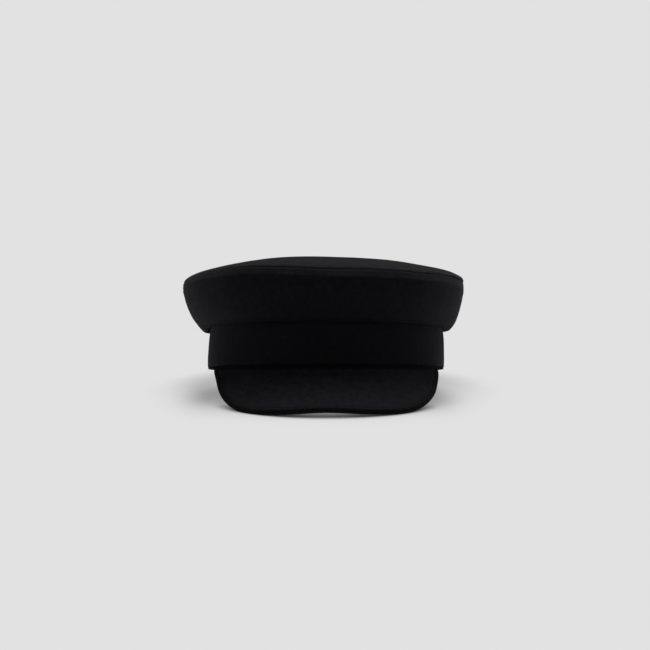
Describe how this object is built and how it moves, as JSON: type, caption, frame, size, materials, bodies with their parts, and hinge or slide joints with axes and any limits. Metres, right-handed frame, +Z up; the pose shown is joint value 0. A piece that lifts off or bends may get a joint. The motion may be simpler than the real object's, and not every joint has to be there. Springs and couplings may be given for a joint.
{
  "type": "breton fisherman cap",
  "caption": "Black wool cap with a flared, domed crown, an upright head band and a short curved peak.",
  "frame": {"origin": "centre of the bounding box's base, on the surface that the cap rests on", "axes": "+Z up, +X to the right of someone facing the peak, -Y towards the front, where the peak points"},
  "size_m": [0.211, 0.2624, 0.1043],
  "materials": {
    "crown_wool": "matte fulled wool cloth",
    "band_wool": "matte fulled wool cloth",
    "peak_wool": "matte wool cloth over a stiff board"
  },
  "bodies": {
    "root": {"crown_top": "crown_wool", "crown_front": "crown_wool", "crown_back": "crown_wool", "band": "band_wool", "peak": "peak_wool"}
  },
  "joints": []
}
